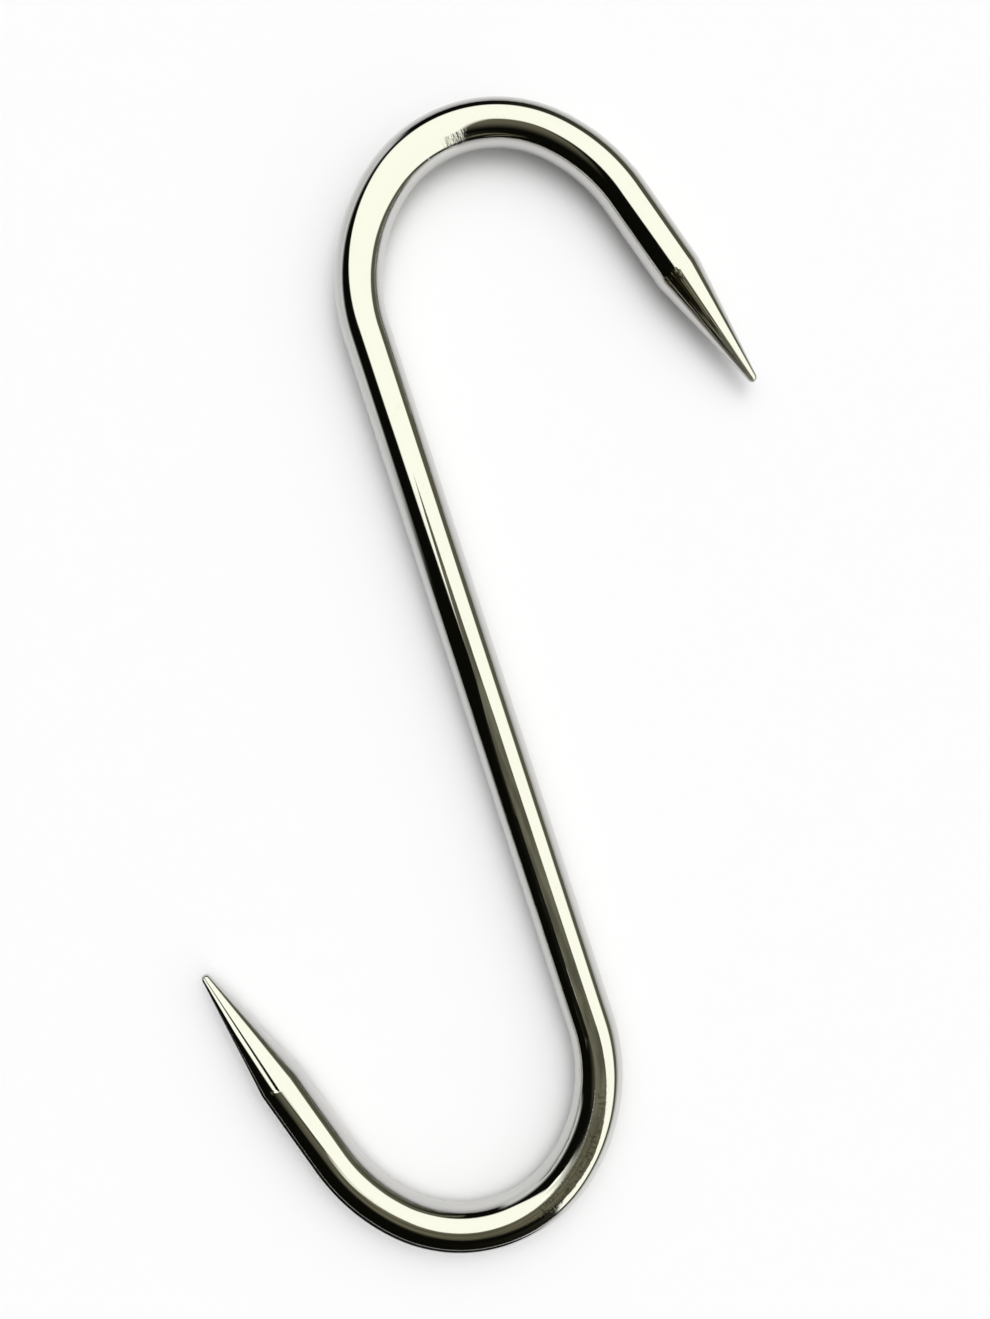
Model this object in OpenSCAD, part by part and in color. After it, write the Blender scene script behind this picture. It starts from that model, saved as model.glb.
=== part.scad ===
// S hook: one round bar, bent into two opposite hooks and ground to a point at both ends.
// Millimetres. The hook lies flat with its lowest side on Z = 0 and the origin midway between
// the hooks. +Y runs along the load line to the top hook, which opens towards +X.

/* [Bar] */
// Diameter of the round bar
bar_d = 6.35; // [4:0.05:9]
// Straight bar between the two hooks
shank_len = 95.4; // [30:0.1:260]

/* [Hook] */
// Centre-line radius of the shoulder, where a hook leaves the shank
shoulder_r = 23; // [12:0.1:60]
// Degrees that the shoulder turns through
shoulder_angle = 52.8; // [40:0.05:65]
// Centre-line radius of the crown, the tightest stretch, which seats on the rail
crown_r = 17.2; // [9:0.1:40]
// Degrees that the crown turns through
crown_angle = 80.4; // [60:0.05:90]
// Centre-line radius of the sweep, which opens the crown out into the arm
sweep_r = 24.5; // [12:0.1:60]
// Degrees that the sweep turns through
sweep_angle = 29.45; // [10:0.05:40]
// Straight bar between the sweep and the ground point
arm_len = 12.2; // [1:0.1:60]

/* [Point] */
// Length of the ground point, from its shoulder line to the end of the tip
point_len = 17.4; // [6:0.1:40]
// Radius of the blunted tip
tip_r = 0.65; // [0.2:0.05:1.5]

/* [Hidden] */
$fn = 120;

// Centre of the top hook's crown, seen from the middle of the shank with the shank along Y
crown_x = shoulder_r - (shoulder_r - crown_r) * cos(shoulder_angle);
crown_y = shank_len / 2 + (shoulder_r - crown_r) * sin(shoulder_angle);

// The load line runs through both crown centres, so the shank leans away from it by this angle
lean = atan2(crown_x, crown_y);

// Each length of bar starts at the origin and heads along +Y, with its bends turning to +X.
module straight(length) {
    rotate([-90, 0, 0]) cylinder(h = length, d = bar_d);
}

// Carries its children to the far end of a straight length
module past_straight(length) {
    translate([0, length, 0]) children();
}

// Carries its children round a bend to its far end
module past_bend(radius, angle) {
    translate([radius, 0, 0]) rotate(-angle) translate([-radius, 0, 0]) children();
}

// The half of a bend's full ring that lies past the line Y = 0
module past_line(radius) {
    reach = radius + bar_d;
    translate([-bar_d, 0, -bar_d]) cube([2 * reach, reach, 2 * bar_d]);
}

// A full ring of bar, cut back to one angle by the planes that its two neighbours start from
module bend(radius, angle) {
    difference() {
        translate([radius, 0, 0]) rotate_extrude() translate([radius, 0]) circle(d = bar_d);
        mirror([0, 1, 0]) past_line(radius);
        past_bend(radius, angle) past_line(radius);
    }
}

// The long cone that is ground on the bar's end, with its tip blunted to a small ball
module ground_point() {
    cone_len = point_len - tip_r;
    rotate([-90, 0, 0]) {
        cylinder(h = cone_len, d1 = bar_d, d2 = 2 * tip_r);
        translate([0, 0, cone_len]) sphere(r = tip_r);
    }
}

// Everything past the shank's end: shoulder, crown, sweep, arm and point
module hook() {
    bend(shoulder_r, shoulder_angle);
    past_bend(shoulder_r, shoulder_angle) {
        bend(crown_r, crown_angle);
        past_bend(crown_r, crown_angle) {
            bend(sweep_r, sweep_angle);
            past_bend(sweep_r, sweep_angle) {
                straight(arm_len);
                past_straight(arm_len) ground_point();
            }
        }
    }
}

// The second hook is the first one turned half round, which gives the S
module s_hook() {
    color("silver")
        translate([0, 0, bar_d / 2]) rotate(lean) {
            translate([0, -shank_len / 2, 0]) straight(shank_len);
            for (end = [0, 180]) rotate(end) past_straight(shank_len / 2) hook();
        }
}

s_hook();
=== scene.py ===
"""An S hook of polished stainless steel bar, lying on a white table under a broad window.

Everything is in metres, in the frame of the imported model. The bar is one piece. Geometry Nodes
sweep it along the same centre line as the solid that it stands for, with rings fine enough for
a mirror finish.
"""
import logging
import math
from dataclasses import dataclass, field
from enum import Enum
from typing import Optional, Union

import bpy
from mathutils import Matrix, Vector


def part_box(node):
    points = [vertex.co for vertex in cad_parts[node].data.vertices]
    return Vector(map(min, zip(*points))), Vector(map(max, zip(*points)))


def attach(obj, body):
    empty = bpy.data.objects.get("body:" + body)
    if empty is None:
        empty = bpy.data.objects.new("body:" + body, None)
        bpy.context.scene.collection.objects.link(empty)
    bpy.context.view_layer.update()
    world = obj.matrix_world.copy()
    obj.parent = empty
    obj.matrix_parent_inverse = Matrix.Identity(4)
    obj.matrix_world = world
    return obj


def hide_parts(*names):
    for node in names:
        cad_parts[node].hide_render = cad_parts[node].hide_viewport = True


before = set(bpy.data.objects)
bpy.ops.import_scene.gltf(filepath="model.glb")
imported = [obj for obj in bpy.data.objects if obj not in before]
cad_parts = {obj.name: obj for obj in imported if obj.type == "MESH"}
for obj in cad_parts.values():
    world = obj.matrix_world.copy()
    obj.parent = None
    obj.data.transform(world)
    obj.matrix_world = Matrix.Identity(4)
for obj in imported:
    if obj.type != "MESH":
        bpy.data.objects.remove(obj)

LOG = logging.getLogger("s_hook_scene")
MM = 0.001

Colour = tuple[float, float, float]
Pair = tuple[float, float]
Number = Union["Value", float]

DARK: Colour = (0.004, 0.004, 0.002)


class Maths(Enum):
    """The operations of the Math node that this scene uses."""

    ADD = "ADD"
    SUBTRACT = "SUBTRACT"
    MULTIPLY = "MULTIPLY"
    DIVIDE = "DIVIDE"
    SINE = "SINE"
    COSINE = "COSINE"
    ARC_COSINE = "ARCCOSINE"
    ROOT = "SQRT"
    EXPONENT = "EXPONENT"
    ABSOLUTE = "ABSOLUTE"
    LARGER = "MAXIMUM"
    SMALLER = "MINIMUM"
    FLOOR = "FLOOR"
    SIGN = "SIGN"


class Value:
    """A number on a node's output socket, so that node maths reads as plain arithmetic."""

    def __init__(self, graph: "Graph", socket: bpy.types.NodeSocket) -> None:
        """Wraps a socket.

        Args:
            graph: The tree that the socket belongs to.
            socket: The output socket that carries the number.
        """
        self.graph = graph
        self.socket = socket

    def maths(self, operation: Maths, *others: Number) -> "Value":
        """Adds one Math node whose first input is this value.

        Args:
            operation: The Math node's operation.
            others: The node's further inputs.

        Returns:
            The node's result.
        """
        return self.graph.maths(operation, self, *others)

    def __add__(self, other: Number) -> "Value":
        """Sum."""
        return self.maths(Maths.ADD, other)

    def __radd__(self, other: Number) -> "Value":
        """Sum, with the value on the right."""
        return self.maths(Maths.ADD, other)

    def __sub__(self, other: Number) -> "Value":
        """Difference."""
        return self.maths(Maths.SUBTRACT, other)

    def __rsub__(self, other: Number) -> "Value":
        """Difference, with the value on the right."""
        return self.graph.maths(Maths.SUBTRACT, other, self)

    def __mul__(self, other: Number) -> "Value":
        """Product."""
        return self.maths(Maths.MULTIPLY, other)

    def __rmul__(self, other: Number) -> "Value":
        """Product, with the value on the right."""
        return self.maths(Maths.MULTIPLY, other)

    def __truediv__(self, other: Number) -> "Value":
        """Quotient."""
        return self.maths(Maths.DIVIDE, other)

    def __rtruediv__(self, other: Number) -> "Value":
        """Quotient, with the value on the right."""
        return self.graph.maths(Maths.DIVIDE, other, self)

    def sine(self) -> "Value":
        """Sine, of radians."""
        return self.maths(Maths.SINE)

    def cosine(self) -> "Value":
        """Cosine, of radians."""
        return self.maths(Maths.COSINE)

    def size(self) -> "Value":
        """The value without its sign."""
        return self.maths(Maths.ABSOLUTE)

    def at_least(self, low: Number) -> "Value":
        """The larger of the two."""
        return self.maths(Maths.LARGER, low)

    def at_most(self, high: Number) -> "Value":
        """The smaller of the two."""
        return self.maths(Maths.SMALLER, high)

    def ramp(self, low: float, high: float) -> "Value":
        """Rises in a straight line from 0 at low to 1 at high."""
        return ((self - low) / (high - low)).at_least(0.0).at_most(1.0)

    def rise(self, low: float, high: float) -> "Value":
        """Rises smoothly from 0 at low to 1 at high, or falls where low is the larger.

        Args:
            low: Where the result is 0.
            high: Where the result is 1.

        Returns:
            A mask from 0 to 1.
        """
        limits = {"From Min": low, "From Max": high, "To Min": 0.0, "To Max": 1.0}
        if low > high:
            limits = {"From Min": high, "From Max": low, "To Min": 1.0, "To Max": 0.0}
        settings = {"interpolation_type": "SMOOTHSTEP"}
        return self.graph.value("ShaderNodeMapRange", settings, {"Value": self, **limits})


class Graph:
    """Adds nodes and links to one tree, of a material, a world or Geometry Nodes."""

    def __init__(self, tree: bpy.types.NodeTree) -> None:
        """Starts from an empty tree.

        Args:
            tree: The node tree, whose nodes are cleared.
        """
        self.tree = tree
        tree.nodes.clear()

    def node(self, kind: str, settings: Optional[dict] = None,
             inputs: Optional[dict] = None) -> bpy.types.Node:
        """Adds any node.

        Args:
            kind: The node's type.
            settings: The node's own properties, which are set first.
            inputs: Values, links or colours of its sockets, by name or index.

        Returns:
            The new node.
        """
        made = self.tree.nodes.new(kind)
        for name, setting in (settings or {}).items():
            setattr(made, name, setting)
        for name, given in (inputs or {}).items():
            self.feed(made.inputs[name], given)
        return made

    def value(self, kind: str, settings: Optional[dict] = None, inputs: Optional[dict] = None,
              output: Union[str, int] = 0) -> Value:
        """Adds any node and wraps one of its outputs.

        Args:
            kind: The node's type.
            settings: The node's own properties.
            inputs: Values or links of its sockets.
            output: The output's name or index.

        Returns:
            The wrapped output.
        """
        return Value(self, self.node(kind, settings, inputs).outputs[output])

    def feed(self, socket: bpy.types.NodeSocket, given: object) -> None:
        """Links or sets one input socket.

        Args:
            socket: The input socket.
            given: A Value or an output socket to link, or a plain setting.
        """
        if isinstance(given, Value):
            self.tree.links.new(given.socket, socket)
        elif isinstance(given, bpy.types.NodeSocket):
            self.tree.links.new(given, socket)
        elif isinstance(given, tuple) and len(given) == 3 and socket.type == "RGBA":
            socket.default_value = (*given, 1.0)
        else:
            socket.default_value = given

    def maths(self, operation: Maths, *operands: Number) -> Value:
        """Adds one Math node.

        Args:
            operation: The node's operation.
            operands: Its inputs, in order.

        Returns:
            The node's result.
        """
        return self.value("ShaderNodeMath", {"operation": operation.value}, dict(enumerate(operands)))

    def vector(self, x: Number, y: Number, z: Number) -> Value:
        """Joins three numbers into a vector."""
        return self.value("ShaderNodeCombineXYZ", None, {"X": x, "Y": y, "Z": z})

    def parts(self, vector: Value) -> tuple[Value, Value, Value]:
        """Splits a vector into its three numbers."""
        split = self.node("ShaderNodeSeparateXYZ", None, {0: vector})
        return Value(self, split.outputs[0]), Value(self, split.outputs[1]), Value(self, split.outputs[2])

    def noise(self, place: Value, detail: float = 2.0, roughness: float = 0.5) -> Value:
        """Adds a noise of about one hump for each unit of its place.

        Args:
            place: The place, in units of one hump.
            detail: How many finer layers it has.
            roughness: Strength of the finer layers.

        Returns:
            The noise, about 0.5 on average.
        """
        return self.value("ShaderNodeTexNoise", {"noise_dimensions": "3D"},
                          {"Vector": place, "Scale": 1.0, "Detail": detail, "Roughness": roughness})

    def blend(self, mask: Number, first: object, second: object) -> Value:
        """Mixes two colours.

        Args:
            mask: 0 gives the first colour and 1 the second.
            first: A colour or a link.
            second: A colour or a link.

        Returns:
            The mixed colour.
        """
        made = self.tree.nodes.new("ShaderNodeMix")
        made.data_type = "RGBA"
        by_name = {socket.identifier: socket for socket in made.inputs}
        self.feed(by_name["Factor_Float"], mask)
        self.feed(by_name["A_Color"], first)
        self.feed(by_name["B_Color"], second)
        return Value(self, next(out for out in made.outputs if out.identifier == "Result_Color"))


@dataclass
class Bend:
    """One arc of the centre line.

    Attributes:
        radius: Centre-line radius, in metres.
        angle: The angle that the arc turns through, in radians.
    """

    radius: float
    angle: float


@dataclass
class HookBar:
    """The whole hook: one round bar, bent twice and ground to a point at both ends.

    Attributes:
        diameter: Diameter of the bar.
        shank: Straight bar between the two hooks.
        shoulder: The bend's first arc, from the shank.
        crown: The tightest arc, which seats on a rail.
        sweep: The arc that opens the crown out into the arm.
        arm: Straight bar between the sweep and the ground point.
        point: Length of the ground point with its tip.
        tip_radius: Radius of the blunted tip.
        rings: Rings of the mesh on each half, tip included.
        tip_rings: Rings on the ball of the tip.
        sides: Faces round the bar.
    """

    diameter: float = 6.35 * MM
    shank: float = 95.4 * MM
    shoulder: Bend = field(default_factory=lambda: Bend(23.0 * MM, math.radians(52.8)))
    crown: Bend = field(default_factory=lambda: Bend(17.2 * MM, math.radians(80.4)))
    sweep: Bend = field(default_factory=lambda: Bend(24.5 * MM, math.radians(29.45)))
    arm: float = 12.2 * MM
    point: float = 17.4 * MM
    tip_radius: float = 0.65 * MM
    rings: int = 560
    tip_rings: int = 10
    sides: int = 80

    def lean(self) -> float:
        """Angle between the shank and the load line, which runs through both crowns' centres."""
        step = self.shoulder.radius - self.crown.radius
        across = self.shoulder.radius - step * math.cos(self.shoulder.angle)
        along = self.shank / 2 + step * math.sin(self.shoulder.angle)
        return math.atan2(across, along)

    def half_length(self) -> float:
        """Length of bar from the middle of the shank to the end of a tip."""
        bends = sum(bend.radius * bend.angle for bend in (self.shoulder, self.crown, self.sweep))
        return self.shank / 2 + bends + self.arm + self.point

    def build(self, material: bpy.types.Material) -> bpy.types.Object:
        """Sweeps the bar and gives it its finish.

        Args:
            material: The polished steel.

        Returns:
            The finished piece, as a plain mesh at the origin.
        """
        piece = bpy.data.objects.new("hook_bar", bpy.data.meshes.new("hook_bar_seed"))
        bpy.context.scene.collection.objects.link(piece)
        modifier = piece.modifiers.new("sweep", "NODES")
        modifier.node_group = self.sweep_tree(material)
        for socket in modifier.node_group.interface.items_tree:
            if socket.in_out == "INPUT" and socket.name in self.inputs():
                modifier[socket.identifier] = self.inputs()[socket.name]
        bpy.context.view_layer.update()
        shown = piece.evaluated_get(bpy.context.evaluated_depsgraph_get())
        mesh = bpy.data.meshes.new_from_object(shown)
        piece.modifiers.clear()
        mesh.name = "hook_bar"
        piece.data = mesh
        return piece

    def inputs(self) -> dict[str, float]:
        """The sizes that the sweep takes, by the names of its input sockets."""
        return {
            "Bar Diameter": self.diameter,
            "Shank Length": self.shank,
            "Shoulder Radius": self.shoulder.radius,
            "Shoulder Angle": self.shoulder.angle,
            "Crown Radius": self.crown.radius,
            "Crown Angle": self.crown.angle,
            "Sweep Radius": self.sweep.radius,
            "Sweep Angle": self.sweep.angle,
            "Arm Length": self.arm,
            "Point Length": self.point,
            "Tip Radius": self.tip_radius,
            "Half Length": self.half_length(),
            "Lean": self.lean(),
        }

    def sweep_tree(self, material: bpy.types.Material) -> bpy.types.NodeTree:
        """Builds the Geometry Nodes tree that sweeps a circle along the hook's centre line.

        The mesh starts as a flat grid with one row of points for each ring. A ring's number
        gives its place along the bar, counted from the middle, and so its centre, heading and
        radius. The second half is the first one turned half round.

        Args:
            material: The finish that the faces get.

        Returns:
            The node group.
        """
        tree = bpy.data.node_groups.new("bar_sweep", "GeometryNodeTree")
        graph = Graph(tree)
        for name in self.inputs():
            tree.interface.new_socket(name, in_out="INPUT", socket_type="NodeSocketFloat")
        tree.interface.new_socket("Geometry", in_out="OUTPUT", socket_type="NodeSocketGeometry")
        given = graph.node("NodeGroupInput")
        size = {name: Value(graph, given.outputs[name]) for name in self.inputs()}
        bar_radius = size["Bar Diameter"] * 0.5

        columns = self.sides + 1
        grid = graph.node("GeometryNodeMeshGrid", None, {
            "Size X": 1.0, "Size Y": 1.0, "Vertices X": 2 * self.rings + 1, "Vertices Y": columns})
        index = graph.value("GeometryNodeInputIndex")
        ring = (index / columns).maths(Maths.FLOOR)
        side = index - ring * columns
        signed = ring - self.rings
        half = signed.maths(Maths.SIGN)
        from_tip = self.rings - signed.size()

        ball = (1.0 - (from_tip / self.tip_rings).at_most(1.0)) * (math.pi / 2)
        step = (size["Half Length"] - size["Tip Radius"]) / (self.rings - self.tip_rings)
        to_tip = size["Tip Radius"] * (1.0 - ball.sine()) + (from_tip - self.tip_rings).at_least(0.0) * step
        flare = (bar_radius - size["Tip Radius"]) / (size["Point Length"] - size["Tip Radius"])
        cone = size["Tip Radius"] * ball.cosine() + (to_tip - size["Tip Radius"]).at_least(0.0) * flare
        radius = cone.at_most(bar_radius)
        along = size["Half Length"] - to_tip

        x, y, heading = self.centre_line(size, along)
        turn = side * (2 * math.pi / self.sides) - math.pi / 2
        across = radius * turn.cosine()
        local_x = x * half + across * heading.cosine()
        local_y = y * half - across * heading.sine()
        lean_cos = size["Lean"].cosine()
        lean_sin = size["Lean"].sine()
        place = graph.vector(local_x * lean_cos - local_y * lean_sin,
                             local_x * lean_sin + local_y * lean_cos,
                             bar_radius + radius * turn.sine())

        unrolled = graph.value("GeometryNodeFieldOnDomain",
                               {"data_type": "FLOAT_VECTOR", "domain": "POINT"},
                               {0: graph.vector(along * half, side / self.sides, 0.0)})
        mapped = graph.node("GeometryNodeStoreNamedAttribute",
                            {"data_type": "FLOAT2", "domain": "CORNER"},
                            {"Geometry": grid.outputs["Mesh"], "Name": "UVMap", "Value": unrolled})
        swept = graph.node("GeometryNodeSetPosition", None,
                           {"Geometry": mapped.outputs["Geometry"], "Position": place})
        closed = graph.node("GeometryNodeMergeByDistance", None,
                            {"Geometry": swept.outputs["Geometry"], "Distance": 1e-6})
        smooth = graph.node("GeometryNodeSetShadeSmooth", None, {"Geometry": closed.outputs["Geometry"]})
        real = graph.node("GeometryNodeRealizeInstances", None, {"Geometry": smooth.outputs["Geometry"]})
        dressed = graph.node("GeometryNodeSetMaterial", None,
                             {"Geometry": real.outputs["Geometry"], "Material": material})
        graph.node("NodeGroupOutput", None, {"Geometry": dressed.outputs["Geometry"]})
        return tree

    def centre_line(self, size: dict[str, Value], along: Value) -> tuple[Value, Value, Value]:
        """Works out the centre line's place and heading at a length of bar from the middle.

        Args:
            size: The tree's inputs by name.
            along: Length of bar from the middle of the shank.

        Returns:
            x, y and the heading, which is 0 along +Y and grows towards +X.
        """
        straight = size["Shank Length"] * 0.5
        x = along * 0.0
        y = along.at_most(straight)
        heading = along * 0.0
        start = straight
        before = along * 0.0
        for name in ("Shoulder", "Crown", "Sweep"):
            radius = size[name + " Radius"]
            angle = size[name + " Angle"]
            turned = ((along - start) / radius).at_least(0.0).at_most(angle)
            here = turned + before
            x = x + radius * (before.cosine() - here.cosine())
            y = y + radius * (here.sine() - before.sine())
            heading = heading + turned
            start = start + radius * angle
            before = angle + before
        rest = (along - start).at_least(0.0)
        return x + rest * before.sine(), y + rest * before.cosine(), heading

    def report(self, piece: bpy.types.Object) -> None:
        """Logs how far the swept bar's corners lie from the solid's.

        Args:
            piece: The finished bar.
        """
        low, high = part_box("s_hook")
        corners = [piece.matrix_world @ vertex.co for vertex in piece.data.vertices]
        for axis, name in enumerate("XYZ"):
            below = min(corner[axis] for corner in corners) - low[axis]
            above = max(corner[axis] for corner in corners) - high[axis]
            LOG.info("hook_bar %s: %.3f mm and %.3f mm from the solid", name, below / MM, above / MM)


@dataclass(frozen=True)
class Mark:
    """A patch of the bar's surface that the tools have left rougher.

    Attributes:
        along: Its middle, in millimetres of bar from the middle of the shank.
        reach: Its half length, in millimetres.
        round: Its middle round the bar, from 0 to 1, where 0.5 is straight up.
        spread: Its half width round the bar.
        ridge_depth: Depth of its ridges across the bar, in millimetres.
        speckle_depth: Depth of its speckle, in millimetres.
        dulling_and_mirrored_tint: How far its scratches pull the steel toward its dull olive, where 1 is
            that colour in full; partly real dulling and partly a painted reflection of the room's
            olive-brown side.
        blur: How much it adds to the mirror's blur.
    """

    along: float
    reach: float
    round: float
    spread: float
    ridge_depth: float
    speckle_depth: float
    dulling_and_mirrored_tint: float
    blur: float

    def mask(self, along: Value, turn: Value) -> Value:
        """Draws the patch with soft edges.

        Args:
            along: Millimetres of bar from the middle of the shank.
            turn: Place round the bar, from 0 to 1.

        Returns:
            A mask that is 1 in its middle.
        """
        here = (along - self.along).size().rise(self.reach, self.reach * 0.55)
        return here * (turn - self.round).size().rise(self.spread, self.spread * 0.6)

    def relief(self, ridges: Value, speckle: Value) -> Value:
        """Works out the patch's height at full strength.

        Args:
            ridges: The noise of the ridges.
            speckle: The noise of the speckle.

        Returns:
            The height in millimetres, about 0 on average.
        """
        return (0.5 - ridges) * self.ridge_depth + (0.5 - speckle) * self.speckle_depth


@dataclass(frozen=True)
class Grain:
    """A noise that follows the bar.

    Attributes:
        round_scale: Humps for each millimetre round the bar.
        along_scale: Humps for each millimetre along the bar.
        shift: Shift along the bar, in humps, which sets each noise apart from the others.
        detail: How many finer layers it has.
        roughness: Strength of the finer layers.
    """

    round_scale: float
    along_scale: float
    shift: float
    detail: float
    roughness: float

    def draw(self, graph: Graph, east: Value, up: Value, along: Value) -> Value:
        """Adds the noise.

        Args:
            graph: The material's graph.
            east: Place across the bar, in millimetres.
            up: Place through the bar's thickness, in millimetres.
            along: Millimetres of bar from the middle of the shank.

        Returns:
            The noise, about 0.5 on average.
        """
        place = graph.vector(east * self.round_scale, up * self.round_scale,
                             along * self.along_scale + self.shift)
        return graph.noise(place, self.detail, self.roughness)


@dataclass(frozen=True)
class PolishedSteel:
    """Mirror-polished stainless steel, with grinding lines on the points and a few tool marks.

    The pattern follows the bar: it is laid out on the mesh's own map, whose first number is the
    length of bar from the middle of the shank and whose second runs once round the bar.

    Attributes:
        colour: What the metal mirrors of white light.
        dull_and_mirrored_olive: The dark olive-brown that dulled places are pulled toward: partly the real
            dulling of the grinding wheel and tools, partly a painted reflection of the room's olive-brown
            side.
        roughness: Blur of the mirror.
        ground_from: Where the ground points begin, in millimetres from the middle of the shank.
        ground_edge: Half the width of the line where they begin, in millimetres.
        bar_radius: Radius of the bar, in millimetres.
        crown_mark: The press mark in the top hook's crown.
        bend_mark: The grain left in the lower hook's bend; its olive tint is partly a painted reflection.
        facet_start: Where the top point's ground side begins round the bar, from none to full.
        facet_end: Where it ends, from none to full.
        step_middle: Middle of the rough step on that side, in millimetres along the point.
        step_reach: How far the step reaches from its middle, from none to full.
        flat_fall: Where the low point's ground side falls away round the bar, from start to end.
        flat_fall_depth: How deep it falls, in millimetres.
        flat_climb: Where it climbs back, from start to end.
        flat_climb_height: How high it climbs, in millimetres.
        lines: The polishing lines.
        grit: The grinding streaks.
        swell: The bar's slow swell.
        cloud: Broad patches of haze.
        ridges: The ridges across the bar that a press leaves.
        speckle: The speckle of rough metal.
        streak_depth: Depth of the streaks on the top point, in millimetres.
        fine_streak_depth: Depth of those on the low point.
        step_depth: Depth of the rough step.
        swell_depth: Depth of the swell.
        line_depth: Depth of the polishing lines.
        pit_depth: Depth of the pits.
        pit_cells: Cells for each millimetre of bar, of which a few hold a pit.
        pit_chosen: Which cells hold one, from none to full.
        pit_edge: A pit's radius in its cell, from none to full.
        streak_dulling_and_mirrored_tint: How far the streaks are pulled toward the dull olive all over, and
            how much more on their tops; partly real dulling, partly painted reflection.
        step_dulling_and_mirrored_tint: How far the step's speckle is pulled toward it; partly real dulling,
            partly painted reflection.
        haze_dulling_and_mirrored_tint: How far the haze is pulled toward it; partly real dulling, partly
            painted reflection.
        line_blur: How much the polishing lines change the mirror's blur.
        streak_blur: How much the streaks add to it.
        flat_blur: How much the low point adds to it.
        step_blur: How much the step adds to it.
        pit_blur: How much a pit adds to it.
        least_blur: The least blur anywhere.
    """

    colour: Colour = (0.60, 0.595, 0.58)
    dull_and_mirrored_olive: Colour = (0.17, 0.155, 0.105)
    roughness: float = 0.055
    ground_from: float = 117.6
    ground_edge: float = 0.25
    bar_radius: float = 3.175
    crown_mark: Mark = Mark(along=79.0, reach=2.4, round=0.382, spread=0.050,
                            ridge_depth=0.040, speckle_depth=0.030, dulling_and_mirrored_tint=0.25, blur=0.05)
    bend_mark: Mark = Mark(along=-66.0, reach=12.5, round=0.490, spread=0.055,
                           ridge_depth=0.020, speckle_depth=0.022, dulling_and_mirrored_tint=0.65, blur=0.03)
    facet_start: Pair = (0.325, 0.350)
    facet_end: Pair = (0.468, 0.456)
    step_middle: float = 0.6
    step_reach: Pair = (1.2, 0.4)
    flat_fall: Pair = (0.456, 0.499)
    flat_fall_depth: float = 0.150
    flat_climb: Pair = (0.504, 0.517)
    flat_climb_height: float = 0.090
    lines: Grain = Grain(5.0, 0.12, 0.0, 3.0, 0.6)
    grit: Grain = Grain(3.9, 0.10, 40.0, 1.0, 0.5)
    swell: Grain = Grain(0.22, 0.16, 11.0, 1.0, 0.5)
    cloud: Grain = Grain(0.7, 0.5, 23.0, 3.0, 0.6)
    ridges: Grain = Grain(0.5, 2.6, 71.0, 3.0, 0.65)
    speckle: Grain = Grain(1.9, 1.9, 5.0, 2.0, 0.6)
    streak_depth: float = 0.095
    fine_streak_depth: float = 0.003
    step_depth: float = 0.070
    swell_depth: float = 0.010
    line_depth: float = 0.0012
    pit_depth: float = 0.060
    pit_cells: float = 0.55
    pit_chosen: Pair = (0.80, 0.84)
    pit_edge: Pair = (0.085, 0.02)
    streak_dulling_and_mirrored_tint: Pair = (0.68, 0.28)
    step_dulling_and_mirrored_tint: float = 0.5
    haze_dulling_and_mirrored_tint: float = 0.10
    line_blur: float = 0.04
    streak_blur: float = 0.01
    flat_blur: float = 0.005
    step_blur: float = 0.06
    pit_blur: float = 0.2
    least_blur: float = 0.03

    def build(self) -> bpy.types.Material:
        """Builds the material.

        Returns:
            The material.
        """
        material = bpy.data.materials.new("polished_stainless")
        material.use_nodes = True
        graph = Graph(material.node_tree)
        mapped = graph.value("ShaderNodeUVMap", {"uv_map": "UVMap"})
        first, turn, _ = graph.parts(mapped)
        along = first * (1.0 / MM)
        angle = turn * (2 * math.pi)
        east = angle.cosine() * self.bar_radius
        up = angle.sine() * self.bar_radius

        lines = self.lines.draw(graph, east, up, along)
        grit = self.grit.draw(graph, east, up, along)
        swell = self.swell.draw(graph, east, up, along)
        cloud = self.cloud.draw(graph, east, up, along)
        ridges = self.ridges.draw(graph, east, up, along)
        speckle = self.speckle.draw(graph, east, up, along)

        top_point = along.rise(self.ground_from - self.ground_edge, self.ground_from + self.ground_edge)
        low_point = along.rise(-self.ground_from + self.ground_edge,
                               -self.ground_from - self.ground_edge)
        facet = turn.rise(*self.facet_start) * turn.rise(*self.facet_end)
        streaks = top_point * facet
        step = (along - self.ground_from - self.step_middle).size().rise(*self.step_reach) * facet
        crown_mark = self.crown_mark.mask(along, turn)
        bend_mark = self.bend_mark.mask(along, turn) * cloud.rise(0.34, 0.58)
        pits = self.pits(graph, east, up, along)

        flat_side = low_point * (turn.ramp(*self.flat_climb) * self.flat_climb_height
                                 - turn.ramp(*self.flat_fall) * self.flat_fall_depth)
        height = (flat_side - pits * self.pit_depth - swell * self.swell_depth
                  + (0.5 - lines) * self.line_depth
                  + (0.5 - grit) * (streaks * self.streak_depth + low_point * self.fine_streak_depth)
                  + crown_mark * self.crown_mark.relief(ridges, speckle)
                  + bend_mark * self.bend_mark.relief(ridges, speckle)
                  + step * (0.5 - speckle) * self.step_depth)
        bump = graph.node("ShaderNodeBump", None, {"Strength": 1.0, "Distance": MM, "Height": height})

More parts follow.
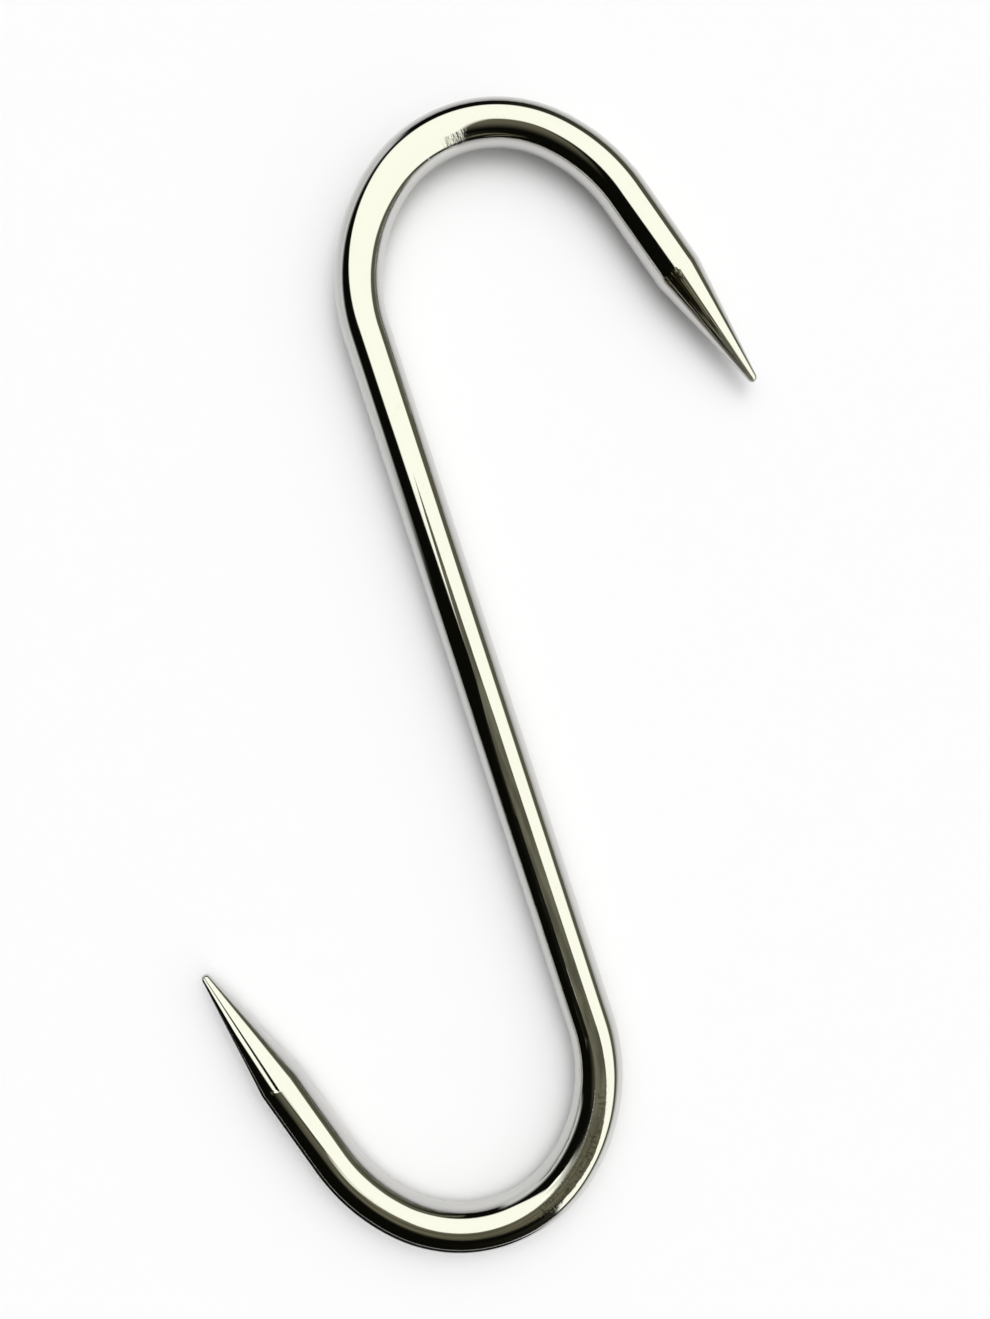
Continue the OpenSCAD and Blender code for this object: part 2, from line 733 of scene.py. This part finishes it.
        # Where the steel is ground, scratched or hazed, its colour is pulled toward a dark olive-brown:
        # partly real dulling, partly a painted reflection of the olive-brown side of the room.
        streak_tops = grit.rise(0.56, 0.40)
        step_speckle = speckle.rise(0.35, 0.55)
        crown_scratches = ridges.rise(0.52, 0.38)
        bend_scratches = (ridges + speckle).rise(1.04, 0.80)
        haze = cloud.rise(0.60, 0.85)
        all_over, on_tops = self.streak_dulling_and_mirrored_tint
        dull = (streaks * (streak_tops * on_tops + all_over) + step * step_speckle * self.step_dulling_and_mirrored_tint
                + crown_mark * crown_scratches * self.crown_mark.dulling_and_mirrored_tint
                + bend_mark * bend_scratches * self.bend_mark.dulling_and_mirrored_tint
                + haze * self.haze_dulling_and_mirrored_tint).at_most(1.0)
        blur = (self.roughness + (lines - 0.5) * self.line_blur + streaks * self.streak_blur
                + low_point * self.flat_blur + crown_mark * self.crown_mark.blur
                + bend_mark * self.bend_mark.blur + step * self.step_blur + pits * self.pit_blur)
        # The base colour mixes in the dull olive, which is partly a painted reflection of the room, on top
        # of the real dulling.
        surface = graph.node("ShaderNodeBsdfPrincipled", None, {
            "Base Color": graph.blend(dull, self.colour, self.dull_and_mirrored_olive), "Metallic": 1.0,
            "Roughness": blur.at_least(self.least_blur), "Normal": bump.outputs["Normal"]})
        graph.node("ShaderNodeOutputMaterial", None, {"Surface": surface.outputs["BSDF"]})
        return material

    def pits(self, graph: Graph, east: Value, up: Value, along: Value) -> Value:
        """Scatters a few tiny pits over the bar.

        Args:
            graph: The material's graph.
            east: Place across the bar, in millimetres.
            up: Place through the bar's thickness, in millimetres.
            along: Millimetres of bar from the middle of the shank.

        Returns:
            A mask that is 1 in the middle of a pit.
        """
        cells = graph.node("ShaderNodeTexVoronoi", {"feature": "F1"}, {
            "Vector": graph.vector(east, up, along), "Scale": self.pit_cells, "Randomness": 1.0})
        chosen, _, _ = graph.parts(Value(graph, cells.outputs["Color"]))
        middle = Value(graph, cells.outputs["Distance"]).rise(*self.pit_edge)
        return middle * chosen.rise(*self.pit_chosen)


@dataclass(frozen=True)
class Room:
    """The room that the bar mirrors, and the light that it gives the table.

    The pattern is laid out in degrees from straight up, as on a fisheye picture: X and Y are
    the room's own, and a spot's distance from the middle is its angle from straight up.

    Attributes:
        window: Brightness of the broad window and ceiling.
        wall: Brightness of the wall under the window.
        dark: Brightness of the dark side of the room.
        maker: Brightness of whoever leans over the table, seen near straight up.
        pale_wall: Brightness of the low pale wall on the left.
        ground: Brightness of what lies below the table's height.
        horizon: Where the room passes into the ground, as the height of the direction.
        backdrop: Brightness of the room where the camera itself sees it.
        wall_polar: Where the wall comes up, in degrees from straight up.
        wall_east: Where it comes up along X.
        wall_north: Where it comes up along Y.
        maker_heading: The heading that whoever leans over the table comes from.
        maker_edge: Where that side of the room begins, along the heading.
        maker_polar: Where it fades out and is full, in degrees from straight up.
        pale_heading: The heading of the pale wall.
        pale_spread: Where it begins to either side, as the cosine from its heading.
        pale_polar: Where it comes up, in degrees from straight up.
        round_middle: Middle of the window's round part.
        round_edge: Radius of the round part, from none to full.
        slant_heading: The heading that the window's slanting edge faces.
        slant_edge: Where the slanting edge lies along its heading, from none to full.
        window_limit: How far down from straight up the window reaches.
        low_heading: The heading where the window reaches lower.
        low_reach: How much lower it reaches there.
        limit_edge: Softness of its lower edge, from none to full.
        sky_middle: Middle of the sky's brightest part, as it lights the table.
        sky_spread: How broad that part is.
        daylight: Brightness of the middle of the sky, as it lights the table.
        window_light: Brightness of the whole window, as it lights the table.
        skylight: Brightness of all the rest for the table.
    """

    window: Colour = (1.60, 1.62, 1.40)
    wall: Colour = (0.14, 0.137, 0.09)
    dark: Colour = DARK
    maker: Colour = (0.17, 0.16, 0.105)
    pale_wall: Colour = (0.85, 0.86, 0.84)
    ground: Colour = (0.95, 0.95, 0.95)
    horizon: Pair = (0.0, -0.02)
    backdrop: Colour = (1.0, 1.0, 1.0)
    wall_polar: Pair = (50.0, 66.0)
    wall_east: Pair = (-10.0, 70.0)
    wall_north: Pair = (-95.0, -5.0)
    maker_heading: Pair = (0.43, -0.9)
    maker_edge: Pair = (0.0, 6.0)
    maker_polar: Pair = (48.0, 16.0)
    pale_heading: Pair = (-0.927, 0.375)
    pale_spread: Pair = (0.766, 0.866)
    pale_polar: Pair = (72.0, 86.0)
    round_middle: Pair = (-5.0, 35.0)
    round_edge: Pair = (42.0, 38.0)
    slant_heading: Pair = (0.857, 0.515)
    slant_edge: Pair = (-2.0, 2.0)
    window_limit: float = 64.0
    low_heading: Pair = (0.669, -0.743)
    low_reach: float = 17.0
    limit_edge: Pair = (2.5, -2.5)
    sky_middle: Pair = (7.0, 26.0)
    sky_spread: float = 22.0
    daylight: float = 3.60
    window_light: float = 0.61
    skylight: float = 0.322

    def build(self) -> None:
        """Sets up the world."""
        world = bpy.data.worlds.new("room")
        bpy.context.scene.world = world
        world.use_nodes = True
        graph = Graph(world.node_tree)
        direction = graph.value("ShaderNodeTexCoord", None, None, "Generated")
        x, y, z = graph.parts(direction)
        polar = z.maths(Maths.ARC_COSINE) * (180.0 / math.pi)
        flat = (x * x + y * y).maths(Maths.ROOT).at_least(1e-4)
        east = polar * x / flat
        north = polar * y / flat
        lit = self.window_mask(x, y, flat, polar, east, north)

        wall = polar.rise(*self.wall_polar) * east.rise(*self.wall_east) * north.rise(*self.wall_north)
        shade = graph.blend(wall, self.dark, self.wall)
        makers_side = self.toward(east, north, self.maker_heading).rise(*self.maker_edge)
        shade = graph.blend(polar.rise(*self.maker_polar) * makers_side, shade, self.maker)
        leftward = self.toward(x, y, self.pale_heading) / flat
        pale = leftward.rise(*self.pale_spread) * polar.rise(*self.pale_polar)
        shade = graph.blend(pale, shade, self.pale_wall)
        mirrored = graph.blend(lit, shade, self.window)

        path = graph.node("ShaderNodeLightPath")
        from_middle = self.squared_distance(east, north, self.sky_middle)
        spread = from_middle * (-1.0 / (self.sky_spread * self.sky_spread))
        level = spread.maths(Maths.EXPONENT) * self.daylight + lit * self.window_light + self.skylight
        lighting = graph.vector(level, level, level)
        seen = graph.blend(Value(graph, path.outputs["Is Glossy Ray"]), lighting, mirrored)
        seen = graph.blend(z.rise(*self.horizon), seen, self.ground)
        shown = graph.blend(Value(graph, path.outputs["Is Camera Ray"]), seen, self.backdrop)
        background = graph.node("ShaderNodeBackground", None, {"Color": shown, "Strength": 1.0})
        graph.node("ShaderNodeOutputWorld", None, {"Surface": background.outputs["Background"]})

    def toward(self, across: Value, up: Value, heading: Pair) -> Value:
        """How far a place lies along a heading."""
        return across * heading[0] + up * heading[1]

    def squared_distance(self, across: Value, up: Value, middle: Pair) -> Value:
        """Works out the square of a place's distance from a middle.

        Args:
            across: The place along X.
            up: The place along Y.
            middle: The middle's two numbers.

        Returns:
            The squared distance.
        """
        right = across - middle[0]
        above = up - middle[1]
        return right * right + above * above

    def window_mask(self, x: Value, y: Value, flat: Value, polar: Value,
                    east: Value, north: Value) -> Value:
        """Draws the window: a round part, joined to all that lies right of a slanting edge.

        Args:
            x: The direction's x.
            y: The direction's y.
            flat: Length of x and y together.
            polar: Degrees from straight up.
            east: Degrees from straight up, along X.
            north: Degrees from straight up, along Y.

        Returns:
            A mask that is 1 in the window.
        """
        distance = self.squared_distance(east, north, self.round_middle).maths(Maths.ROOT)
        round_part = distance.rise(*self.round_edge)
        slanting_edge = self.toward(east, north, self.slant_heading).rise(*self.slant_edge)
        lower = (self.toward(x, y, self.low_heading) / flat).at_least(0.0)
        limit = lower * lower * self.low_reach + self.window_limit
        return round_part.at_least(slanting_edge) * (polar - limit).rise(*self.limit_edge)


@dataclass(frozen=True)
class NearShape:
    """Something close over the table, or a gap between such things, seen only in the steel.

    Attributes:
        name: What the piece is called.
        outline: Its corners, seen from above, in metres.
        height: Its height over the table.
        colour: Its brightness.
        fade: Where its painted shade begins, darkening it toward near black, and where it has gone fully
            dark, along its fall line.
        slope: How much it climbs along Y.
        fall_slant: How much its fall line leans from Y towards X.
        folds_a_metre: Humps of its folds for each metre.
        fold_edge: Where the noise of the folds is in their shade and where in their light.
        fold_tones: Brightness of the folds' shade and light, of its own.
    """

    name: str
    outline: tuple[Pair, ...]
    height: float
    colour: Colour
    fade: Pair = (-1.0, -1.1)
    slope: float = 0.0
    fall_slant: float = 0.35
    folds_a_metre: float = 90.0
    fold_edge: Pair = (0.36, 0.64)
    fold_tones: Pair = (0.72, 1.28)

    def build(self) -> bpy.types.Object:
        """Makes the shape as a flat card.

        Returns:
            The card, hidden from the camera, diffuse rays, shadows and transmission.
        """
        mesh = bpy.data.meshes.new(self.name)
        corners = [(x, y, self.height + self.slope * y) for x, y in self.outline]
        mesh.from_pydata(corners, [], [tuple(range(len(corners)))])
        card = bpy.data.objects.new(self.name, mesh)
        bpy.context.scene.collection.objects.link(card)
        material = bpy.data.materials.new(self.name)
        material.use_nodes = True
        graph = Graph(material.node_tree)
        x, y, _ = graph.parts(graph.value("ShaderNodeTexCoord", None, None, "Object"))
        folds = graph.noise(graph.vector(x * self.folds_a_metre, y * self.folds_a_metre, 0.0), 3.0, 0.6)
        shade, light = (tuple(part * tone for part in self.colour) for tone in self.fold_tones)
        cloth = graph.blend(folds.rise(*self.fold_edge), shade, light)
        # Painted shade: the card darkens to near black along its fall line.
        lit = graph.blend((y + x * self.fall_slant).rise(*self.fade), cloth, DARK)
        glow = graph.node("ShaderNodeEmission", None, {"Color": lit, "Strength": 1.0})
        graph.node("ShaderNodeOutputMaterial", None, {"Surface": glow.outputs["Emission"]})
        mesh.materials.append(material)
        card.visible_camera = False
        card.visible_diffuse = False
        card.visible_shadow = False
        card.visible_transmission = False
        return card


@dataclass(frozen=True)
class Table:
    """The white table that the hook lies on.

    Attributes:
        half_side: Half the length of its side.
        colour: Its paint.
        gloss_blur: Blur of its paint, where the steel mirrors it.
        gloss_index: Refractive index of the paint.
    """

    half_side: float = 1.5
    colour: Colour = (0.93, 0.93, 0.93)
    gloss_blur: float = 0.15
    gloss_index: float = 1.33

    def build(self) -> bpy.types.Object:
        """Makes the table's top, just under the hook.

        Returns:
            The table.
        """
        reach = self.half_side
        mesh = bpy.data.meshes.new("table")
        corners = [(-reach, -reach, 0.0), (reach, -reach, 0.0), (reach, reach, 0.0), (-reach, reach, 0.0)]
        mesh.from_pydata(corners, [], [(0, 1, 2, 3)])
        table = bpy.data.objects.new("table", mesh)
        bpy.context.scene.collection.objects.link(table)
        material = bpy.data.materials.new("white_table")
        material.use_nodes = True
        graph = Graph(material.node_tree)
        plain = graph.node("ShaderNodeBsdfDiffuse", None, {"Color": self.colour})
        glazed = graph.node("ShaderNodeBsdfPrincipled", None, {
            "Base Color": self.colour, "Roughness": self.gloss_blur, "IOR": self.gloss_index})
        path = graph.node("ShaderNodeLightPath")
        surface = graph.node("ShaderNodeMixShader", None, {
            0: path.outputs["Is Glossy Ray"], 1: plain.outputs["BSDF"], 2: glazed.outputs["BSDF"]})
        graph.node("ShaderNodeOutputMaterial", None, {"Surface": surface.outputs["Shader"]})
        mesh.materials.append(material)
        return table


@dataclass(frozen=True)
class PhotoCamera:
    """The camera that looks down on the hook, as the photograph does.

    Attributes:
        eye: Where it stands.
        aim: Where the middle of its picture meets the table.
        roll: How far it is turned about its own line of sight, in degrees.
        focal: Focal length in pixels of the picture's width.
        picture_width: Width of the picture, in pixels.
    """

    eye: tuple[float, float, float] = (-0.44 * MM, 4.49 * MM, 168.21 * MM)
    aim: tuple[float, float, float] = (2.023 * MM, 2.508 * MM, 0.0)
    roll: float = 2.462
    focal: float = 1250.0
    picture_width: float = 990.0

    def build(self) -> None:
        """Sets up the camera and makes it the scene's."""
        data = bpy.data.cameras.new("photo_camera")
        data.sensor_fit = "HORIZONTAL"
        data.sensor_width = 36.0
        data.lens = data.sensor_width * self.focal / self.picture_width
        data.clip_start = 0.01
        camera = bpy.data.objects.new("photo_camera", data)
        bpy.context.scene.collection.objects.link(camera)
        back = (Vector(self.eye) - Vector(self.aim)).normalized()
        right = Vector((0.0, 1.0, 0.0)).cross(back).normalized()
        up = back.cross(right)
        upright = Matrix((right, up, back)).transposed()
        turn = Matrix.Rotation(math.radians(self.roll), 3, "Z")
        camera.matrix_world = Matrix.Translation(self.eye) @ (upright @ turn).to_4x4()
        bpy.context.scene.camera = camera


NEAR_SHAPES = (
    # Whoever leans over the table, as the steel mirrors it; its far part darkens into painted shade, away
    # from the light that the table throws up on it.
    NearShape("leaning_maker",
              ((-0.060, -0.100), (-0.040, -0.0905), (-0.022, -0.0835), (-0.010, -0.0790),
               (-0.002, -0.0745), (0.003, -0.069), (0.010, -0.065), (0.020, -0.060),
               (0.032, -0.057), (0.046, -0.061), (0.049, -0.072), (0.062, -0.084),
               (0.078, -0.105), (0.090, -0.130), (-0.060, -0.130)),
              height=0.060, colour=(0.17, 0.16, 0.105), fade=(-0.095, -0.113)),
    NearShape("window_gap",
              ((0.0010, -0.0738), (-0.0120, -0.0748), (-0.0215, -0.0712), (-0.0270, -0.0640),
               (-0.0330, -0.0560), (-0.0280, -0.0520), (-0.0100, -0.0640), (-0.0040, -0.0705)),
              height=0.0339, colour=(1.60, 1.62, 1.40), fade=(-0.0705, -0.0763), slope=-0.3877),
    # Painted shade: the held strap's unlit side, as a near-black card that only the steel sees.
    NearShape("strap_shaded_side",
              ((0.0025, -0.0200), (0.0057, -0.0278), (0.0092, -0.0367), (0.0114, -0.0431),
               (0.0136, -0.0493), (0.0100, -0.0513), (0.0077, -0.0452), (0.0045, -0.0385),
               (0.0010, -0.0297), (-0.0020, -0.0205)),
              height=0.012, colour=(0.008, 0.008, 0.005)),
    NearShape("held_strap",
              ((-0.0100, 0.0283), (-0.0070, 0.0225), (-0.0022, 0.0111), (0.0028, 0.0006),
               (0.0056, -0.0051), (0.0080, -0.0119), (0.0290, -0.0600), (0.0150, -0.0640),
               (-0.0044, -0.0167), (-0.0050, -0.0087), (-0.0040, -0.0018), (-0.0070, 0.0095),
               (-0.0095, 0.0218)),
              height=0.020, colour=(0.18, 0.175, 0.12)),
    # Painted shade: a near-black sheet on the table under the lower hook, seen only in the steel, which
    # darkens the mirrored table there; the camera sees the white table.
    NearShape("mirrored_table_shade",
              ((0.020, -0.086), (-0.004, -0.085), (-0.022, -0.076), (-0.035, -0.062),
               (-0.048, -0.044), (-0.058, -0.028), (-0.100, -0.050), (-0.100, -0.140),
               (0.020, -0.140)),
              height=0.0001, colour=(0.012, 0.012, 0.010)),
)


def main() -> None:
    """Builds the scene."""
    logging.basicConfig(level=logging.INFO, format="%(name)s: %(message)s")
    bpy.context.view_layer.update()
    bpy.context.scene.view_settings.view_transform = "Standard"
    PhotoCamera().build()
    bar = HookBar()
    piece = bar.build(PolishedSteel().build())
    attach(piece, "root")
    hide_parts("s_hook")
    bar.report(piece)
    LOG.info("hook_bar: %d faces", len(piece.data.polygons))
    Room().build()
    Table().build()
    for shape in NEAR_SHAPES:
        LOG.info("mirrored shape: %s", shape.build().name)


if __name__ == "__main__":
    main()
